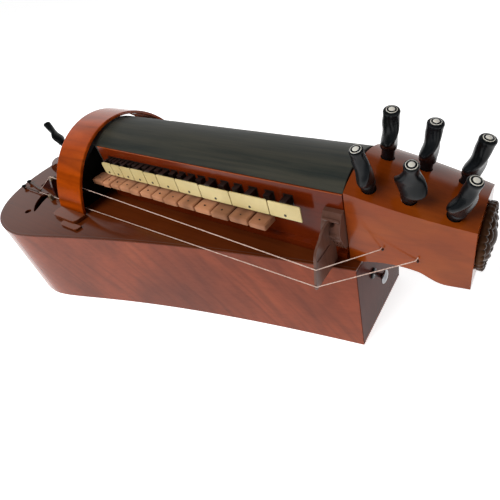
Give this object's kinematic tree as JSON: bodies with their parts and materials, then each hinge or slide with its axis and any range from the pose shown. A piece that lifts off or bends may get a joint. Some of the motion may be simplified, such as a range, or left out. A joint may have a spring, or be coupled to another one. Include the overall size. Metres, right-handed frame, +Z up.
{
  "type": "hurdy gurdy",
  "caption": "Boat-shaped hurdy-gurdy: cranked wheel under an arched cover, lidded keybox with sliding keys, melody and drone strings, and a pegbox with turned pegs.",
  "frame": {"origin": "on the flat underside of the body, below the melody nut, in the centre plane", "axes": "+X along the strings towards the pegs, -Y the side of the keys' buttons, +Z up out of the soundboard"},
  "size_m": [0.6656, 0.2768, 0.2136],
  "materials": {
    "soundboard_wood": "red-brown varnished softwood with a fine straight grain, high gloss",
    "side_wood": "flamed maple under red-brown varnish, high gloss",
    "head_wood": "varnished maple, gloss",
    "inner_wood": "bare spruce, matt",
    "wheel_wood": "dark turned wood with a rosined rim",
    "cover_wood": "bent maple under orange varnish, high gloss",
    "pegbox_wood": "carved maple under orange-brown varnish, high gloss",
    "rosette_wood": "dark carved wood, satin",
    "keybox_wood": "red-brown varnished maple, gloss",
    "bridge_wood": "plain maple, satin",
    "nut_wood": "dark stained wood, satin",
    "key_wood": "bare pinkish-brown wood, worn, satin",
    "ebony": "black ebony, polished",
    "lid_lacquer": "black lacquered wood, satin",
    "bone": "aged bone, polished",
    "gut": "pale gut string",
    "cord": "brown twisted tail cord",
    "steel": "polished steel",
    "brass": "worn polished brass",
    "chrome": "bright plated metal"
  },
  "bodies": {
    "body": {"soundboard": "soundboard_wood", "back_plate": "side_wood", "side_ribs": "side_wood", "head_plate": "head_wood", "axle_frame": "inner_wood", "cover_foot_near": "cover_wood", "cover_foot_far": "cover_wood", "melody_bridge": "bridge_wood", "melody_nut": "bone", "tailpiece": "soundboard_wood", "drone_bridge_near": "nut_wood", "drone_bridge_far": "nut_wood", "drone_nut_near": "nut_wood", "drone_nut_far": "nut_wood", "keybox_front_wall": "keybox_wood", "keybox_rear_wall": "keybox_wood", "lid_end": "lid_lacquer", "pegbox": "pegbox_wood", "rosette": "rosette_wood", "melody_string_near": "gut", "melody_string_far": "gut", "drone_string_near_1": "gut", "drone_string_near_2": "gut", "drone_string_far_1": "gut", "drone_string_far_2": "gut"},
    "wheel": {"wheel": "wheel_wood", "crankshaft": "steel"},
    "crank_handle": {"crank_handle": "ebony"},
    "wheel_cover": {"wheel_cover": "cover_wood"},
    "lid": {"lid": "lid_lacquer"},
    "tirant_peg": {"tirant_peg": "ebony"},
    "peg_near_1": {"peg_near_1": "ebony"},
    "peg_near_2": {"peg_near_2": "ebony"},
    "peg_near_3": {"peg_near_3": "ebony"},
    "peg_far_1": {"peg_far_1": "ebony"},
    "peg_far_2": {"peg_far_2": "ebony"},
    "peg_far_3": {"peg_far_3": "ebony"},
    "key_01": {"key_01": "ebony"},
    "key_02": {"key_02": "key_wood"},
    "key_03": {"key_03": "ebony"},
    "key_04": {"key_04": "key_wood"},
    "key_05": {"key_05": "key_wood"},
    "key_06": {"key_06": "ebony"},
    "key_07": {"key_07": "key_wood"},
    "key_08": {"key_08": "ebony"},
    "key_09": {"key_09": "key_wood"},
    "key_10": {"key_10": "key_wood"},
    "key_11": {"key_11": "ebony"},
    "key_12": {"key_12": "key_wood"},
    "key_13": {"key_13": "ebony"},
    "key_14": {"key_14": "key_wood"},
    "key_15": {"key_15": "ebony"},
    "key_16": {"key_16": "key_wood"},
    "key_17": {"key_17": "key_wood"},
    "key_18": {"key_18": "ebony"},
    "key_19": {"key_19": "key_wood"},
    "key_20": {"key_20": "ebony"},
    "key_21": {"key_21": "key_wood"},
    "key_22": {"key_22": "key_wood"},
    "key_23": {"key_23": "ebony"}
  },
  "joints": [
    {"name": "lid_hinge", "type": "hinge", "parent": "body", "child": "lid", "pos_m": [0, 0.0364, 0.1613], "axis": [-1, 0, 0], "range_deg": [0, 100]},
    {"name": "wheel_spin", "type": "hinge", "parent": "body", "child": "wheel", "pos_m": [-0.297, 0, 0.084], "axis": [1, 0, 0], "continuous": true},
    {"name": "handle_spin", "type": "hinge", "parent": "wheel", "child": "crank_handle", "pos_m": [-0.5, 0, 0.024], "axis": [1, 0, 0], "continuous": true},
    {"name": "cover_lift", "type": "slide", "parent": "body", "child": "wheel_cover", "axis": [0, 0, 1], "range_m": [0, 0.12]},
    {"name": "tirant_turn", "type": "hinge", "parent": "body", "child": "tirant_peg", "pos_m": [-0.388, -0.0148, 0.1266], "axis": [-0.6678, 0.0997, 0.7376], "continuous": true},
    {"name": "peg_near_1_turn", "type": "hinge", "parent": "body", "child": "peg_near_1", "pos_m": [0.0465, -0.0268, 0.16492], "axis": [-0.047, -0.2821, 0.9582], "continuous": true},
    {"name": "peg_near_2_turn", "type": "hinge", "parent": "body", "child": "peg_near_2", "pos_m": [0.0746, -0.0236, 0.15934], "axis": [0.138, -0.315, 0.939], "continuous": true},
    {"name": "peg_near_3_turn", "type": "hinge", "parent": "body", "child": "peg_near_3", "pos_m": [0.1046, -0.0226, 0.15224], "axis": [0.305, -0.219, 0.9269], "continuous": true},
    {"name": "peg_far_1_turn", "type": "hinge", "parent": "body", "child": "peg_far_1", "pos_m": [0.0467, 0.0107, 0.16863], "axis": [0.167, -0.1961, 0.9663], "continuous": true},
    {"name": "peg_far_2_turn", "type": "hinge", "parent": "body", "child": "peg_far_2", "pos_m": [0.0743, 0.014, 0.16154], "axis": [0.1831, -0.1301, 0.9745], "continuous": true},
    {"name": "peg_far_3_turn", "type": "hinge", "parent": "body", "child": "peg_far_3", "pos_m": [0.1035, 0.014, 0.15446], "axis": [0.2751, -0.108, 0.9553], "continuous": true},
    {"name": "key_01_push", "type": "slide", "parent": "body", "child": "key_01", "axis": [0, 1, 0], "range_m": [0, 0.003]},
    {"name": "key_02_push", "type": "slide", "parent": "body", "child": "key_02", "axis": [0, 1, 0], "range_m": [0, 0.003]},
    {"name": "key_03_push", "type": "slide", "parent": "body", "child": "key_03", "axis": [0, 1, 0], "range_m": [0, 0.003]},
    {"name": "key_04_push", "type": "slide", "parent": "body", "child": "key_04", "axis": [0, 1, 0], "range_m": [0, 0.003]},
    {"name": "key_05_push", "type": "slide", "parent": "body", "child": "key_05", "axis": [0, 1, 0], "range_m": [0, 0.003]},
    {"name": "key_06_push", "type": "slide", "parent": "body", "child": "key_06", "axis": [0, 1, 0], "range_m": [0, 0.003]},
    {"name": "key_07_push", "type": "slide", "parent": "body", "child": "key_07", "axis": [0, 1, 0], "range_m": [0, 0.003]},
    {"name": "key_08_push", "type": "slide", "parent": "body", "child": "key_08", "axis": [0, 1, 0], "range_m": [0, 0.003]},
    {"name": "key_09_push", "type": "slide", "parent": "body", "child": "key_09", "axis": [0, 1, 0], "range_m": [0, 0.003]},
    {"name": "key_10_push", "type": "slide", "parent": "body", "child": "key_10", "axis": [0, 1, 0], "range_m": [0, 0.003]},
    {"name": "key_11_push", "type": "slide", "parent": "body", "child": "key_11", "axis": [0, 1, 0], "range_m": [0, 0.003]},
    {"name": "key_12_push", "type": "slide", "parent": "body", "child": "key_12", "axis": [0, 1, 0], "range_m": [0, 0.003]},
    {"name": "key_13_push", "type": "slide", "parent": "body", "child": "key_13", "axis": [0, 1, 0], "range_m": [0, 0.003]},
    {"name": "key_14_push", "type": "slide", "parent": "body", "child": "key_14", "axis": [0, 1, 0], "range_m": [0, 0.003]},
    {"name": "key_15_push", "type": "slide", "parent": "body", "child": "key_15", "axis": [0, 1, 0], "range_m": [0, 0.003]},
    {"name": "key_16_push", "type": "slide", "parent": "body", "child": "key_16", "axis": [0, 1, 0], "range_m": [0, 0.003]},
    {"name": "key_17_push", "type": "slide", "parent": "body", "child": "key_17", "axis": [0, 1, 0], "range_m": [0, 0.003]},
    {"name": "key_18_push", "type": "slide", "parent": "body", "child": "key_18", "axis": [0, 1, 0], "range_m": [0, 0.003]},
    {"name": "key_19_push", "type": "slide", "parent": "body", "child": "key_19", "axis": [0, 1, 0], "range_m": [0, 0.003]},
    {"name": "key_20_push", "type": "slide", "parent": "body", "child": "key_20", "axis": [0, 1, 0], "range_m": [0, 0.003]},
    {"name": "key_21_push", "type": "slide", "parent": "body", "child": "key_21", "axis": [0, 1, 0], "range_m": [0, 0.003]},
    {"name": "key_22_push", "type": "slide", "parent": "body", "child": "key_22", "axis": [0, 1, 0], "range_m": [0, 0.003]},
    {"name": "key_23_push", "type": "slide", "parent": "body", "child": "key_23", "axis": [0, 1, 0], "range_m": [0, 0.003]}
  ]
}
